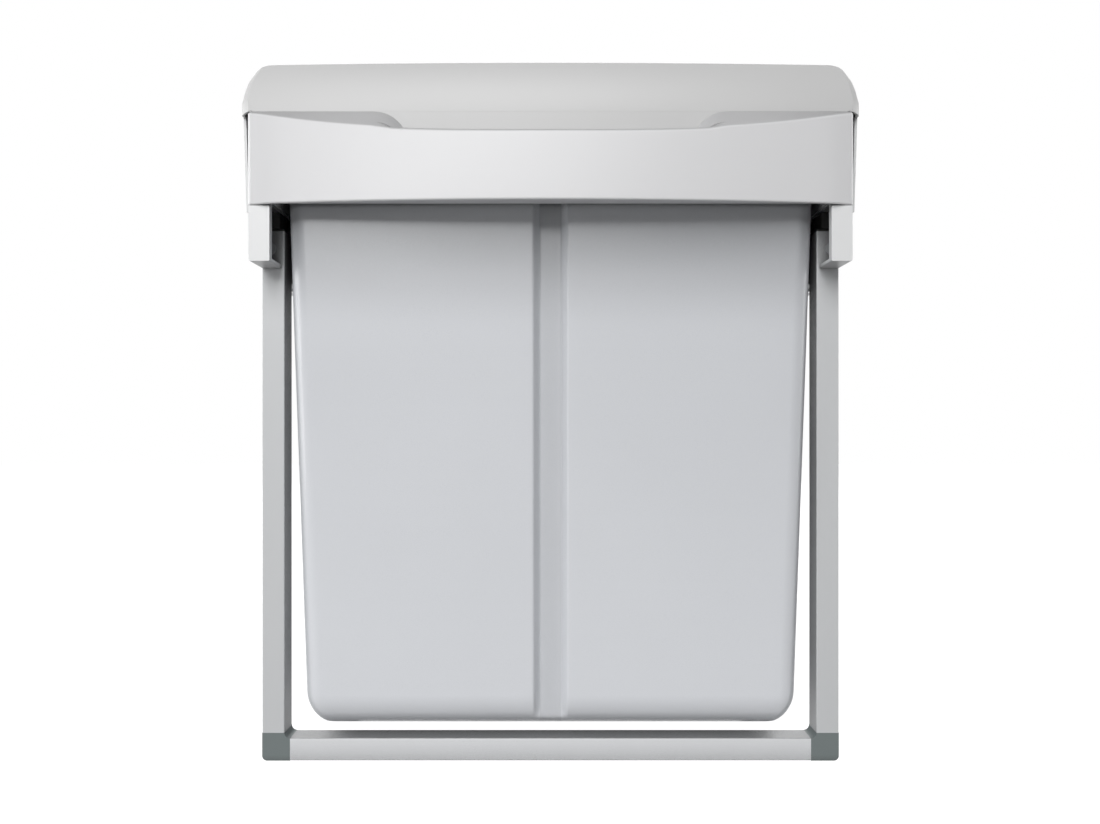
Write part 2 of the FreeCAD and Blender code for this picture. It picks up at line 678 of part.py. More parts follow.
def fascia_screws():
    made = []
    for x in BOSS_X:
        reach = FRONT_WALL_Y - bow_y(x, FASCIA_WALL / 2) - FASCIA_WALL
        for side in (-1, 1):
            made.append(screw(V(side * x, FRONT_WALL_Y - reach, BOSS_Z), BACK, reach + FRONT_WALL))
    return made


# Bin

def bin_outline(z, inset, wall):
    drop = (BIN_TOP - z) * BIN_DRAFT + inset + wall
    front_drop = (BIN_TOP - z) * BIN_FRONT_DRAFT + inset + wall
    radius = max(BIN_CORNER - wall, LEAST_ROUND)
    return outline(BIN_HALF_TOP - drop, BIN_FRONT_TOP + front_drop, BIN_REAR_TOP - drop, radius, z)


def bin_body(wall, top):
    radius = BIN_FOOT_ROUND - wall
    sections = []
    for i in range(BIN_FOOT_STEPS + 1):
        angle = math.radians(90.0 * i / BIN_FOOT_STEPS)
        z = BIN_BOTTOM + wall + radius * (1 - math.cos(angle))
        sections.append(bin_outline(z, radius * (1 - math.sin(angle)), wall))
    sections.append(bin_outline(top, 0, wall))
    return Part.makeLoft(sections, True, True)


def groove(wall):
    grow = wall * math.tan(math.radians(22.5))
    wires = []
    low = BIN_BOTTOM - OVERRUN
    for z in (low, GROOVE_TOP + wall):
        face = BIN_FRONT_TOP + (BIN_TOP - z) * BIN_FRONT_DRAFT
        out = face - OVERRUN
        mouth = GROOVE_MOUTH / 2 + OVERRUN + wall + grow
        floor = GROOVE_FLOOR / 2 + grow
        depth = face + GROOVE_DEPTH + wall
        wires.append(Part.makePolygon([V(-mouth, out, z), V(mouth, out, z), V(floor, depth, z),
                                       V(-floor, depth, z), V(-mouth, out, z)]))
    return Part.makeLoft(wires, True, True)


def hinge_bore(x, length, radius):
    return rod(radius, V(x - length / 2, HINGE_Y, HINGE_Z), ACROSS, length)


def waste_bin():
    outer = bin_body(0, BIN_TOP).cut(groove(0))
    inner = bin_body(BIN_WALL, BIN_TOP + OVERRUN).cut(groove(BIN_WALL))
    flange = slab(FLANGE_HALF, FLANGE_FRONT, FLANGE_REAR, BIN_CORNER, BIN_TOP - FLANGE, BIN_TOP)
    ears = []
    for side in (-1, 1):
        x = side * HINGE_X
        low, high = x - EAR_WIDTH / 2, x + EAR_WIDTH / 2
        start = HINGE_Y - EAR_REACH
        ears.append(hinge_bore(x, EAR_WIDTH, KNUCKLE_R))
        ears.append(box(low, high, start, start + EAR_POST, BIN_TOP - FLANGE, HINGE_Z))
        ears.append(box(low, high, start, HINGE_Y, HINGE_Z - KNUCKLE_R, HINGE_Z + KNUCKLE_R))
    body = join([outer, flange] + ears).cut(inner)
    bores = [hinge_bore(side * HINGE_X, EAR_WIDTH, PIN_R) for side in (-1, 1)]
    return body.cut(Part.makeCompound(bores))


def hinge_pins():
    length = EAR_WIDTH + 2 * (LUG_SIDE_GAP + LUG_WIDTH)
    return [hinge_bore(side * HINGE_X, length, PIN_R) for side in (-1, 1)]


# Lid

def lid_outline(rise, wall):
    share = min(rise / LID_HEIGHT, 1.0)
    drop = 1 - (1 - share ** LID_ROUND_POWER) ** (1 / LID_ROUND_POWER)
    half = LID_HALF - LID_SIDE_DROP * drop - wall
    front = LID_FRONT + LID_LEAN * share + wall
    rear = LID_REAR - LID_REAR_DROP * drop - wall
    return half, front, rear


def lid_body(wall, top_wall):
    sections = []
    for i in range(LID_STEPS + 1):
        angle = math.radians(90.0 * i / LID_STEPS)
        rise = LID_HEIGHT * math.sin(angle)
        half, front, rear = lid_outline(rise, wall)
        z = LID_BOTTOM + rise * (LID_HEIGHT - top_wall) / LID_HEIGHT
        sections.append(outline(half, front, rear, LID_CORNER - wall, z))
    return Part.makeLoft(sections, True, True)


def lid():
    body = lid_body(0, 0)
    tongue = box(-TONGUE_HALF, TONGUE_HALF, LID_FRONT, LID_FRONT + LID_WALL,
                 LID_BOTTOM - TONGUE_DEPTH, LID_BOTTOM + LID_WALL)
    shell = body.cut(lid_body(LID_WALL, LID_WALL))
    lugs = []
    offset = EAR_WIDTH / 2 + LUG_SIDE_GAP + LUG_WIDTH / 2
    for side in (-1, 1):
        for beside in (-1, 1):
            x = side * HINGE_X + beside * offset
            lugs.append(hinge_bore(x, LUG_WIDTH, KNUCKLE_R))
            lugs.append(box(x - LUG_WIDTH / 2, x + LUG_WIDTH / 2, HINGE_Y, LID_REAR - LID_WALL / 2,
                            LID_BOTTOM, HINGE_Z + KNUCKLE_R))
    solid = join([shell, tongue] + lugs)
    span = EAR_WIDTH + 2 * (LUG_SIDE_GAP + LUG_WIDTH) + OVERRUN
    bores = [hinge_bore(side * HINGE_X, span, PIN_R + PIN_PLAY) for side in (-1, 1)]
    return solid.cut(Part.makeCompound(bores))


def build_frame():
    made = {"leg": leg(), "corner": corner(), "leg_plug": leg_plug(), "floor_tab": floor_tab()}
    for name, shape in made.items():
        export_sides("front_" + name, shape)
        export_sides("rear_" + name, depth_mirror(shape))
    bar = floor_bar()
    export("front_floor_bar", bar)
    export("rear_floor_bar", depth_mirror(bar))
    export("rear_cross_bar", rear_cross_bar())
    screws = carrier_screws()
    export("carrier_screws", Part.makeCompound(screws))
    export_sides("side_bar", pierced(side_bar(), screws, SCREW_R, UP))
    rivets = rail_rivets()
    export("rail_rivets", Part.makeCompound(rivets))
    held = pierced(carrier(), screws, SCREW_R, UP)
    export_sides("carrier", pierced(held, rivets, RIVET_R, ACROSS))
    export_sides("outer_rail", pierced(outer_rail(), rivets, RIVET_R, ACROSS))
    export_sides("stop_buffer", stop_buffer())


def build_slides():
    export_sides("middle_rail", middle_rail())
    export_sides("outer_ball_cage", outer_cage())
    export_sides("inner_ball_cage", inner_cage())


def build_carriage():
    rivets = hanger_rivets()
    screws = hanger_screws()
    held = bracket_screws()
    front = fascia_screws()
    export("hanger_rivets", Part.makeCompound(rivets))
    export("hanger_screws", Part.makeCompound(screws))
    export("bracket_screws", Part.makeCompound(held))
    export("fascia_screws", Part.makeCompound(front))
    rail = pierced(inner_rail(), rivets, RIVET_R, ACROSS)
    export_sides("inner_rail", pierced(rail, held, SCREW_R, ACROSS))
    strip = pierced(hanger(), rivets, RIVET_R, ACROSS)
    export_sides("hanger", pierced(strip, screws, SCREW_R, UP))
    export_sides("front_bracket", pierced(front_bracket(), held, SCREW_R, ACROSS))
    export_sides("rail_cap", rail_cap())
    body = pierced(ring(), screws, SCREW_R, UP)
    export("ring", pierced(body, front, SCREW_R, BACK))
    export("fascia", fascia())


def build_bin():
    export("bin", waste_bin())
    export("lid_hinge_pins", Part.makeCompound(hinge_pins()))
    export("lid", lid())


os.makedirs("parts", exist_ok=True)
build_frame()
build_slides()
build_carriage()
build_bin()
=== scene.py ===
import json
import math

import bmesh
import bpy
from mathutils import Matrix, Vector


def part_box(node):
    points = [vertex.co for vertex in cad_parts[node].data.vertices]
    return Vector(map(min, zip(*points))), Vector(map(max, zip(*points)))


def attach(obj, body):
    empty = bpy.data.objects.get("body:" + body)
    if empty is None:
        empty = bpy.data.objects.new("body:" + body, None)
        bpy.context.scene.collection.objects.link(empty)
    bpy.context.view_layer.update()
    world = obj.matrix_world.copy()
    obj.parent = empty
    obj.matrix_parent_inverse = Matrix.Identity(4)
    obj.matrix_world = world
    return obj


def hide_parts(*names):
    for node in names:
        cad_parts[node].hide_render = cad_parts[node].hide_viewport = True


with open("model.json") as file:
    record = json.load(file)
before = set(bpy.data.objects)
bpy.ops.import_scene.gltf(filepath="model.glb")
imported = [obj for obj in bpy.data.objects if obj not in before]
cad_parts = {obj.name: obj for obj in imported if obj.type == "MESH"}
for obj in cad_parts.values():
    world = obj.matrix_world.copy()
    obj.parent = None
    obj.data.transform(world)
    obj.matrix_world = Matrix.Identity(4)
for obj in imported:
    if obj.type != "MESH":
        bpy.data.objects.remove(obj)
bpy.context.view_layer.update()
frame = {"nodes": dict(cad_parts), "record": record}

# Built-in waste bin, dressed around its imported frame. Metres, front towards -Y, Z up.

nodes = frame["nodes"]
MM = 0.001
WHITE = (1.0, 1.0, 1.0, 1.0)


def add_object(name, data):
    made = bpy.data.objects.new(name, data)
    bpy.context.collection.objects.link(made)
    return made


# Camera: level, in front of the object, as the photograph was taken

PHOTO_WIDTH = 1100
PHOTO_FOCUS = 756.0
HORIZON_BELOW_MIDDLE = 20.0
VANISHING_RIGHT_OF_MIDDLE = 0.5
CAMERA_TO_LEGS = 0.679
CAMERA_HEIGHT = 0.2952
CLIP_NEAR = 0.02
CLIP_FAR = 50.0
SENSOR_MM = 36.0


def make_camera():
    data = bpy.data.cameras.new("camera")
    data.sensor_fit = "HORIZONTAL"
    data.sensor_width = SENSOR_MM
    data.lens = SENSOR_MM * PHOTO_FOCUS / PHOTO_WIDTH
    data.shift_y = HORIZON_BELOW_MIDDLE / PHOTO_WIDTH
    data.shift_x = -VANISHING_RIGHT_OF_MIDDLE / PHOTO_WIDTH
    data.clip_start = CLIP_NEAR
    data.clip_end = CLIP_FAR
    camera = add_object("camera", data)
    legs_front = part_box("front_leg_left")[0][1]
    camera.location = (0.0, legs_front - CAMERA_TO_LEGS, CAMERA_HEIGHT)
    camera.rotation_euler = (math.radians(90), 0.0, 0.0)
    bpy.context.scene.camera = camera


# Light: a wide lamp high in front, three small ones for the sheen, the left edges and the floor
# bar, and one each for the back and the sides.
# Each is (name, place, target, size, watts, whether it shows in reflections).

LAMPS = (
    ("key", (-0.55, -3.8, 3.0), (0.0, -0.2, 0.32), (2.4, 3.4), 160.0, True),
    ("sheen", (-1.15, -2.9, 1.35), (0.0, -0.2, 0.45), (0.9, 0.5), 9.0, True),
    ("rim", (-2.6, -0.75, 0.7), (0.0, 0.0, 0.40), (0.25, 1.6), 12.0, True),
    ("low", (-0.5, -2.6, 0.10), (0.0, -0.2, 0.05), (1.0, 0.16), 6.0, False),
    ("behind", (0.0, 3.2, 1.4), (0.0, 0.0, 0.3), (3.0, 2.0), 60.0, True),
    ("left_side", (-3.2, 0.7, 0.9), (0.0, 0.1, 0.3), (2.0, 2.0), 36.0, True),
    ("right_side", (3.2, 0.7, 0.9), (0.0, 0.1, 0.3), (2.0, 2.0), 30.0, True),
)


def make_lamp(name, place, target, size, power, in_gloss):
    data = bpy.data.lights.new(name, "AREA")
    data.shape = "RECTANGLE"
    data.size, data.size_y = size
    data.energy = power
    lamp = add_object(name, data)
    lamp.visible_glossy = in_gloss
    lamp.visible_camera = False
    lamp.location = place
    lamp.rotation_euler = (Vector(target) - Vector(place)).to_track_quat("-Z", "Y").to_euler()


def calculate(tree, operation, *values):
    """The result of a math node, from sockets or plain numbers."""
    node = tree.nodes.new("ShaderNodeMath")
    node.operation = operation
    for socket, value in zip(node.inputs, values):
        if isinstance(value, float):
            socket.default_value = value
        else:
            tree.links.new(value, socket)
    return node.outputs[0]


def background_rays(tree):
    """One for the rays that show the white background: camera, glossy and transmission rays."""
    path = tree.nodes.new("ShaderNodeLightPath")
    shown = path.outputs["Is Camera Ray"]
    for kind in ("Is Glossy Ray", "Is Transmission Ray"):
        shown = calculate(tree, "MAXIMUM", shown, path.outputs[kind])
    return shown


def make_world():
    """White where it is seen, and dark for all other rays."""
    world = bpy.data.worlds.new("studio")
    bpy.context.scene.world = world
    world.use_nodes = True
    tree = world.node_tree
    tree.nodes.clear()
    out = tree.nodes.new("ShaderNodeOutputWorld")
    white = tree.nodes.new("ShaderNodeBackground")
    white.inputs["Color"].default_value = WHITE
    tree.links.new(background_rays(tree), white.inputs["Strength"])
    tree.links.new(white.outputs[0], out.inputs["Surface"])


FLOOR_REACH = 6.0
FLOOR_Z = -0.0002
FLOOR_GREY = 0.30


def make_floor():
    """A floor that looks white and throws little light back up."""
    mesh = bpy.data.meshes.new("floor")
    corners = ((-1, -1), (1, -1), (1, 1), (-1, 1))
    mesh.from_pydata([(x * FLOOR_REACH, y * FLOOR_REACH, 0) for x, y in corners],
                     [], [(0, 1, 2, 3)])
    floor = add_object("floor", mesh)
    floor.location.z = FLOOR_Z
    material = bpy.data.materials.new("floor")
    material.use_nodes = True
    tree = material.node_tree
    tree.nodes.clear()
    out = tree.nodes.new("ShaderNodeOutputMaterial")
    paper = tree.nodes.new("ShaderNodeBsdfDiffuse")
    paper.inputs["Color"].default_value = (FLOOR_GREY, FLOOR_GREY, FLOOR_GREY, 1.0)
    glow = tree.nodes.new("ShaderNodeEmission")
    glow.inputs["Color"].default_value = WHITE
    tree.links.new(background_rays(tree), glow.inputs["Strength"])
    both = tree.nodes.new("ShaderNodeAddShader")
    tree.links.new(paper.outputs[0], both.inputs[0])
    tree.links.new(glow.outputs[0], both.inputs[1])
    tree.links.new(both.outputs[0], out.inputs["Surface"])
    mesh.materials.append(material)


# Materials. Plastics are (colour, roughness, strength of the grain, its scale, drift of the
# colour), zinc-plated steels are (colour, roughness).

PLASTICS = {
    "frame_tube": ((0.575, 0.585, 0.595), 0.42, 0.10, 2500.0, 0.02),
    # The floor bar's material is the frame tube's colour painted about a quarter lighter, as
    # painted light on its front.
    "floor_bar_painted_lighter": ((0.735, 0.745, 0.76), 0.42, 0.10, 2500.0, 0.02),
    "corner_plastic": ((0.155, 0.18, 0.18), 0.55, 0.25, 3000.0, 0.03),
    "black_plastic": ((0.004, 0.004, 0.004), 0.6, 0.2, 3000.0, 0.03),
    "buffer_rubber": ((0.33, 0.34, 0.35), 0.8, 0.3, 1500.0, 0.03),
    "bracket_plastic": ((0.75, 0.755, 0.76), 0.38, 0.12, 3000.0, 0.03),
    "fascia_plastic": ((0.67, 0.67, 0.68), 0.34, 0.12, 3000.0, 0.03),
    "ring_plastic": ((0.62, 0.63, 0.63), 0.42, 0.15, 3000.0, 0.03),
    "lid_plastic": ((0.52, 0.52, 0.52), 0.38, 0.12, 3000.0, 0.03),
    "bin_plastic": ((0.675, 0.69, 0.72), 0.28, 0.06, 3000.0, 0.03),
}
STEELS = {
    "fastener_steel": ((0.60, 0.60, 0.61), 0.35),
    "rail_steel": ((0.52, 0.53, 0.54), 0.40),
}
GRAIN_DETAIL = 3.0
GRAIN_HEIGHT = 0.0002
GRAIN_GLOSS = 0.04
DRIFT_SCALE = 6.0
PLAIN_DETAIL = 2.0
ROLLED_STRETCH = (1.0, 0.02, 1.0)
ROLLED_SCALE = 1200.0
ROLLED_STRENGTH = 0.15
ROLLED_HEIGHT = 0.0001
CLOUD_SCALE = 60.0
CLOUD_GLOSS = (0.1, 0.12)

# Painted light and shade that differ over one material: painted shade in gaps (reach, share left),
# on surfaces that slope up and on undersides (share left), and painted light and shade on the tub
# (start, end, value at the start, value at the end)
GAP_PAINTED_SHADE = {
    "frame_tube": (0.04, 0.0),
    "floor_bar_painted_lighter": (0.04, 0.0),
    "corner_plastic": (0.012, 0.0),
    "bracket_plastic": (0.03, 0.2),
    "fascia_plastic": (0.025, 0.45),
}
LEDGE_PAINTED_SHADE = {"fascia_plastic": 0.50, "floor_bar_painted_lighter": 0.52}
UNDERSIDE_PAINTED_SHADE = {"bracket_plastic": 0.64}
GAP_SAMPLES = 4
GAP_OPEN = 0.72
SLOPE_START = 0.30
SLOPE_END = 0.85
TUB_PAINTED_LIGHT = (0.03, 0.45, 1.08, 0.90)
TUB_FRONT = (-0.9, -0.2, 1.0, 0.0)
UNDER_RIM_PAINTED_SHADOW = (0.38, 0.47, 0.0, 0.38)
GROOVE_PAINTED_SHADE = (0.0092, 0.0102, 0.19, 0.0)


def surface(tree):
    return tree.nodes["Principled BSDF"]


def shader(name, colour, roughness, metallic=0.0):
    material = bpy.data.materials.new(name)
    material.use_nodes = True
    bsdf = surface(material.node_tree)
    bsdf.inputs["Base Color"].default_value = (*colour, 1.0)
    bsdf.inputs["Roughness"].default_value = roughness
    bsdf.inputs["Metallic"].default_value = metallic
    return material


def object_place(tree):
    return tree.nodes.new("ShaderNodeTexCoord").outputs["Object"]


def noise(tree, place, scale, detail=PLAIN_DETAIL):
    node = tree.nodes.new("ShaderNodeTexNoise")
    node.inputs["Scale"].default_value = scale
    node.inputs["Detail"].default_value = detail
    tree.links.new(place, node.inputs["Vector"])
    return node.outputs["Fac"]


def ranged(tree, value, start, end, low, high, smooth=False):
    """The value carried from the range start to end onto low to high."""
    span = tree.nodes.new("ShaderNodeMapRange")
    if smooth:
        span.interpolation_type = "SMOOTHSTEP"
    limits = {"From Min": start, "From Max": end, "To Min": low, "To Max": high}
    for name, number in limits.items():
        span.inputs[name].default_value = number
    tree.links.new(value, span.inputs["Value"])
    return span.outputs["Result"]


def set_bump(tree, height, strength, distance):
    bump = tree.nodes.new("ShaderNodeBump")
    bump.inputs["Strength"].default_value = strength
    bump.inputs["Distance"].default_value = distance
    tree.links.new(height, bump.inputs["Height"])
    tree.links.new(bump.outputs["Normal"], surface(tree).inputs["Normal"])


def set_roughness(tree, pattern, low, high):
    tree.links.new(ranged(tree, pattern, 0.0, 1.0, low, high), surface(tree).inputs["Roughness"])


def grained_plastic(name, colour, roughness, strength, grain, drift):
    """Moulded plastic: a fine spark-eroded grain, and a faint drift of colour over the part."""
    material = shader(name, colour, roughness)
    tree = material.node_tree
    place = object_place(tree)
    fine = noise(tree, place, grain, GRAIN_DETAIL)
    set_bump(tree, fine, strength, GRAIN_HEIGHT)
    set_roughness(tree, fine, roughness - GRAIN_GLOSS, roughness + GRAIN_GLOSS)
    tint = tree.nodes.new("ShaderNodeMixRGB")
    tint.inputs["Color1"].default_value = (*[c * (1 - drift) for c in colour], 1.0)
    tint.inputs["Color2"].default_value = (*[c * (1 + drift) for c in colour], 1.0)
    tree.links.new(noise(tree, place, DRIFT_SCALE), tint.inputs["Fac"])
    tree.links.new(tint.outputs["Color"], surface(tree).inputs["Base Color"])
    return material


def zinc(name, colour, roughness):
    """Zinc-plated steel: rolled lines along the length, and cloudy patches of roughness."""
    material = shader(name, colour, roughness, metallic=1.0)
    tree = material.node_tree
    place = object_place(tree)
    stretch = tree.nodes.new("ShaderNodeMapping")
    stretch.inputs["Scale"].default_value = ROLLED_STRETCH
    tree.links.new(place, stretch.inputs["Vector"])
    lines = noise(tree, stretch.outputs["Vector"], ROLLED_SCALE)
    set_bump(tree, lines, ROLLED_STRENGTH, ROLLED_HEIGHT)
    below, above = CLOUD_GLOSS
    set_roughness(tree, noise(tree, place, CLOUD_SCALE), roughness - below, roughness + above)
    return material


def multiply_tone(tree, factor):
    """Scales the material's colour by a value from its own tree."""
    colour = surface(tree).inputs["Base Color"]
    scaled = tree.nodes.new("ShaderNodeMixRGB")
    scaled.blend_type = "MULTIPLY"
    scaled.inputs["Fac"].default_value = 1.0
    tree.links.new(colour.links[0].from_socket, scaled.inputs["Color1"])
    tree.links.new(factor, scaled.inputs["Color2"])
    tree.links.new(scaled.outputs["Color"], colour)


def facing(tree, axis):
    """How far a surface faces along the axis, from -1 to 1."""
    normal = tree.nodes.new("ShaderNodeNewGeometry")
    split = tree.nodes.new("ShaderNodeSeparateXYZ")
    tree.links.new(normal.outputs["Normal"], split.inputs["Vector"])
    return split.outputs[axis]


# Painted shade: surfaces that face up are painted darker.
def paint_ledge_shade(tree, share):
    multiply_tone(tree, ranged(tree, facing(tree, "Z"), SLOPE_START, SLOPE_END, 1.0, share))


# Painted shade: surfaces that face down are painted darker.
def paint_underside_shade(tree, share):
    multiply_tone(tree, ranged(tree, facing(tree, "Z"), -SLOPE_END, -SLOPE_START, share, 1.0))


def paint_gap_shade(tree, reach, share):
    """Painted shade: narrow gaps and inner corners are painted darker from ambient occlusion."""
    open_sky = tree.nodes.new("ShaderNodeAmbientOcclusion")
    open_sky.samples = GAP_SAMPLES
    open_sky.inputs["Distance"].default_value = reach
    multiply_tone(tree, ranged(tree, open_sky.outputs["AO"], 0.0, GAP_OPEN, share, 1.0))


def paint_tub_light_and_shade(tree):
    """Painted light and shade on the tub: painted lighter towards its foot, with a painted shadow
    on its front under the rim and painted shade in the groove.
    """
    place = tree.nodes.new("ShaderNodeSeparateXYZ")
    tree.links.new(object_place(tree), place.inputs["Vector"])
    front = ranged(tree, facing(tree, "Y"), *TUB_FRONT)
    multiply_tone(tree, ranged(tree, place.outputs["Z"], *TUB_PAINTED_LIGHT))
    beside = calculate(tree, "ABSOLUTE", place.outputs["X"])
    for painted_shade in (ranged(tree, place.outputs["Z"], *UNDER_RIM_PAINTED_SHADOW, smooth=True),
                   ranged(tree, beside, *GROOVE_PAINTED_SHADE)):
        on_front = calculate(tree, "MULTIPLY", painted_shade, front)
        multiply_tone(tree, calculate(tree, "SUBTRACT", 1.0, on_front))


def make_materials():
    made = {name: grained_plastic(name, *look) for name, look in PLASTICS.items()}
    made.update({name: zinc(name, *look) for name, look in STEELS.items()})
    # Painted shade on ledges, undersides and in gaps, and painted light and shade on the tub.
    for name, share in LEDGE_PAINTED_SHADE.items():
        paint_ledge_shade(made[name].node_tree, share)
    for name, share in UNDERSIDE_PAINTED_SHADE.items():
        paint_underside_shade(made[name].node_tree, share)
    for name, (reach, share) in GAP_PAINTED_SHADE.items():
        paint_gap_shade(made[name].node_tree, reach, share)
    paint_tub_light_and_shade(made["bin_plastic"].node_tree)
    return made


# Nodes carried over from the frame

# The floor bar gets its own copy of the frame tube's material, painted lighter as painted light.
OWN_LOOK = {"front_bracket": "bracket_plastic", "front_floor_bar": "floor_bar_painted_lighter"}
SOFTENED = ("front_bracket", "ring", "rail_cap")
NODE_EDGE = 0.6
NODE_SHARP = 50.0
BEVEL_SEGMENTS = 3


def soften(piece, width, sharp):
    """Round edges, in millimetres, where faces meet at more than the sharp angle."""
    soft = piece.modifiers.new("soft_edges", "BEVEL")
    soft.width = width * MM
    soft.segments = BEVEL_SEGMENTS
    soft.limit_method = "ANGLE"
    soft.angle_limit = math.radians(sharp)
    return soft


def soften_evenly(piece, width, sharp):
    soften(piece, width, sharp)
    even = piece.modifiers.new("even_shading", "WEIGHTED_NORMAL")
    even.keep_sharp = False


def dress_nodes(materials):
    for part in frame["record"]["subparts"]:
        name = part["node"]
        look = next((OWN_LOOK[start] for start in OWN_LOOK if name.startswith(start)),
                    part["material_slot"])
        for slot in nodes[name].material_slots:
            slot.material = materials[look]
        if name.startswith(SOFTENED):
            soften(nodes[name], NODE_EDGE, NODE_SHARP).harden_normals = True


# Shapes. All sizes below are in millimetres and are turned into metres when a mesh is made.
# A part is its points and faces.

WELD = 0.02
SLIVER = 0.01


def rework(mesh, change):
    """Makes the change to the mesh and shades it smooth."""
    work = bmesh.new()
    work.from_mesh(mesh)
    change(work)
    work.to_mesh(mesh)
    work.free()
    for face in mesh.polygons:
        face.use_smooth = True


def weld(work):
    bmesh.ops.remove_doubles(work, verts=work.verts, dist=WELD * MM)
    bmesh.ops.dissolve_degenerate(work, edges=work.edges, dist=SLIVER * MM)
    bmesh.ops.recalc_face_normals(work, faces=work.faces)


def make_piece(name, parts, material, body):
    points, faces = [], []
    for more_points, more_faces in parts:
        start = len(points)
        points += [(x * MM, y * MM, z * MM) for x, y, z in more_points]
        faces += [tuple(start + i for i in face) for face in more_faces]
    mesh = bpy.data.meshes.new(name)
    mesh.from_pydata(points, [], faces)
    rework(mesh, weld)
    piece = add_object(name, mesh)
    mesh.materials.append(material)
    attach(piece, body)
    return piece


def loft(rings):
    """Closed rings of the same count of points, joined one to the next and closed at both ends."""
    count = len(rings[0])
    points = [p for ring in rings for p in ring]
    faces = []
    for low in range(0, count * (len(rings) - 1), count):
        for i in range(count):
            j = (i + 1) % count
            faces.append((low + i, low + j, low + count + j, low + count + i))
    faces.append(tuple(range(count - 1, -1, -1)))
    faces.append(tuple(range(len(points) - count, len(points))))
    return points, faces


def grid(rows):
    """Open sheet from rows of the same count of points."""
    count = len(rows[0])
    points = [p for row in rows for p in row]
    faces = []
    for low in range(0, count * (len(rows) - 1), count):
        for a in range(low, low + count - 1):
            faces.append((a, a + 1, a + 1 + count, a + count))
    return points, faces


def block(x0, x1, y0, y1, z0, z1):
    points = [(x, y, z) for z in (z0, z1) for x, y in ((x0, y0), (x1, y0), (x1, y1), (x0, y1))]
    faces = [(0, 3, 2, 1), (4, 5, 6, 7), (0, 1, 5, 4), (1, 2, 6, 5), (2, 3, 7, 6), (3, 0, 4, 7)]
    return points, faces


def across(profile, x0, x1):
    """A profile of (y, z) points drawn out from x0 to x1."""
    return loft([[(x, y, z) for y, z in profile] for x in (x0, x1)])


def spread(low, high, count):
    return [low + (high - low) * i / (count - 1) for i in range(count)]


def arc(centre_a, centre_b, radius, start, stop, count):
    return [(centre_a + radius * math.cos(math.radians(angle)),
             centre_b + radius * math.sin(math.radians(angle)))
            for angle in spread(start, stop, count)]


CORNER_STEPS = 8
SIDE_STEPS = 9


def ring_points(half, front, rear, radius, z, front_line):
    """Rounded rectangle; front_line gives the (x, y offset) points between its front corners."""
    inner = half - radius
    near, far = front + radius, rear - radius

    def bend(x, y, start):
        return arc(x, y, radius, start, start + 90.0, CORNER_STEPS + 1)[1:-1]

    plan = [(x, front + dy) for x, dy in front_line(inner)]
    plan += bend(inner, near, -90.0)
    plan += [(half, y) for y in spread(near, far, SIDE_STEPS)]
    plan += bend(inner, far, 0.0)
    plan += [(x, rear) for x in spread(inner, -inner, SIDE_STEPS)]
    plan += bend(-inner, far, 90.0)
    plan += [(-half, y) for y in spread(far, near, SIDE_STEPS)]
    plan += bend(-inner, near, 180.0)
    return [(x, y, z) for x, y in plan]


# Hinge: two ears on the bin's rim, each between two lugs of the lid

HINGE_X = 170.0
HINGE_Y = 191.5
HINGE_Z = 577.0
KNUCKLE_R = 4.5
KNUCKLE_TOP = HINGE_Z + KNUCKLE_R
KNUCKLE_STEPS = 12
EAR_HALF = 4.0
EAR_BACK = HINGE_Y - 11.5
EAR_FOOT = 7.0
EAR_CHAMFER = 1.5
LUG_WIDTH = 6.0
LUG_GAP = 0.5
LUG_FOOT_Y = HINGE_Y + 2.0
LUG_TOP_Y = HINGE_Y + 4.0
LUG_TOP_Z = KNUCKLE_TOP + 6.0
LUG_BELOW_LID = 0.75


def knuckle(start, stop):
    return arc(HINGE_Y, HINGE_Z, KNUCKLE_R, start, stop, KNUCKLE_STEPS)


# Bin: tapered body with a groove down the front, a soft foot, a rim that turns out

BIN_TOP = 566.0
BIN_BOTTOM = 26.0
BIN_DRAFT = 0.030
BIN_FRONT_DRAFT = 0.017
BIN_HALF = 237.4
BIN_FRONT = -202.6
BIN_REAR = 152.6
BIN_CORNER = 18.0
BIN_INNER_CORNER = 2.0
BIN_FOOT = 34.0
FOOT_STEPS = 14
BIN_WALL = 2.5
BIN_EDGE = 0.4
BIN_SHARP = 50.0
RIM_Z = 563.0
RIM_HALF = 258.0
RIM_FRONT = -209.0
RIM_REAR = 190.0
RIM_UNDER_EASE = 1.0
RIM_EASE = 0.8
MOUTH_EASE = 2.0
BELOW_RIM = 3.0
GROOVE_MOUTH = 15.3
GROOVE_FLOOR = 9.5
GROOVE_DEPTH = 9.0
GROOVE_TOP = 545.0
GROOVE_RUN_OUT = 8.0
GROOVE_SHARES = ((-0.22, 0.0), (-0.08, 0.015), (0.08, 0.085), (0.22, 0.22), (0.5, 0.5),
                 (0.78, 0.78), (0.92, 0.915), (1.08, 0.985), (1.22, 1.0))
BESIDE_GROOVE = 4.0
BESIDE_STEPS = 8
BODY_LEVELS = spread(90.0, 530.0, 12) + [537.0, 541.0, GROOVE_TOP]


def bin_front_line(depth):
    reach = GROOVE_MOUTH - GROOVE_FLOOR
    side = [(GROOVE_MOUTH - reach * along, depth * deep) for along, deep in GROOVE_SHARES]

    def line(inner):
        flat = [(x, 0.0) for x in spread(-inner, -side[0][0] - BESIDE_GROOVE, BESIDE_STEPS)]
        left = flat + [(-x, d) for x, d in side]
        return left + [(-x, d) for x, d in reversed(left)]

    return line


